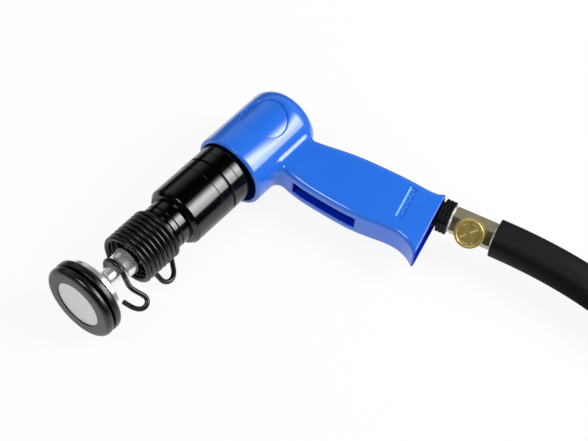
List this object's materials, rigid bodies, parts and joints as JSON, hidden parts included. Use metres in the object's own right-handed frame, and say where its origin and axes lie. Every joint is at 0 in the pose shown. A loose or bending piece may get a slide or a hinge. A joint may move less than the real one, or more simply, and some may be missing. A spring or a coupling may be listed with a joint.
{
  "type": "pneumatic forming hammer",
  "caption": "Pistol-grip air hammer with a flat rubber-ringed forming set held by a wire retainer spring, a side flow regulator and a rubber supply hose.",
  "frame": {"origin": "centre of the forming set's flat working face", "axes": "+X forward along the barrel, +Y towards the foot of the grip, +Z out of the tool's left side, which is up as it lies on a bench"},
  "size_m": [0.3199, 0.415, 0.0484],
  "materials": {
    "housing_blue": "gloss blue enamel on a casting",
    "black_steel": "gloss black oxide steel",
    "spring_black": "gloss black spring wire",
    "bright_steel": "ground and polished steel",
    "hard_steel": "hardened, ground steel",
    "guard_rubber": "satin black moulded rubber",
    "hose_rubber": "matt black hose cover",
    "seal_rubber": "black seal rubber",
    "brass": "turned brass",
    "white_seal": "white seal ring",
    "gasket_fibre": "pressed fibre",
    "plated_steel": "zinc plated steel"
  },
  "bodies": {
    "housing": {"barrel": "black_steel", "barrel_lock_ring": "black_steel", "barrel_snap_ring": "spring_black", "barrel_sleeve": "black_steel", "valve_seat": "hard_steel", "valve_cage": "hard_steel", "valve_cap": "hard_steel", "valve_gasket": "gasket_fibre", "valve_pins": "hard_steel", "retainer_spring": "spring_black", "grip_housing": "housing_blue", "inlet_bushing": "black_steel", "inlet_screen": "hard_steel", "inlet_washer": "white_seal", "regulator_body": "brass", "regulator_o_ring": "seal_rubber", "regulator_gland": "brass", "hose_washer": "white_seal", "hose_barb": "plated_steel", "air_hose": "hose_rubber", "hose_ferrule": "plated_steel", "hose_plug": "plated_steel"},
    "forming_set": {"forming_set": "bright_steel", "rubber_ring": "guard_rubber"},
    "piston": {"piston": "hard_steel"},
    "valve_shuttle": {"valve_shuttle": "hard_steel"},
    "regulator_knob": {"regulator_knob": "brass", "regulator_stem": "brass"}
  },
  "joints": [
    {"name": "set_slide", "type": "slide", "parent": "housing", "child": "forming_set", "axis": [1, 0, 0], "range_m": [-0.005, 0.0007]},
    {"name": "piston_slide", "type": "slide", "parent": "housing", "child": "piston", "axis": [1, 0, 0], "range_m": [0, 0.046]},
    {"name": "valve_slide", "type": "slide", "parent": "housing", "child": "valve_shuttle", "axis": [1, 0, 0], "range_m": [0, 0.0024]},
    {"name": "regulator_turn", "type": "hinge", "parent": "housing", "child": "regulator_knob", "pos_m": [-0.19378, 0.13166, 0], "axis": [0.7538, 0.202, 0.6252], "range_deg": [-135, 135]}
  ]
}
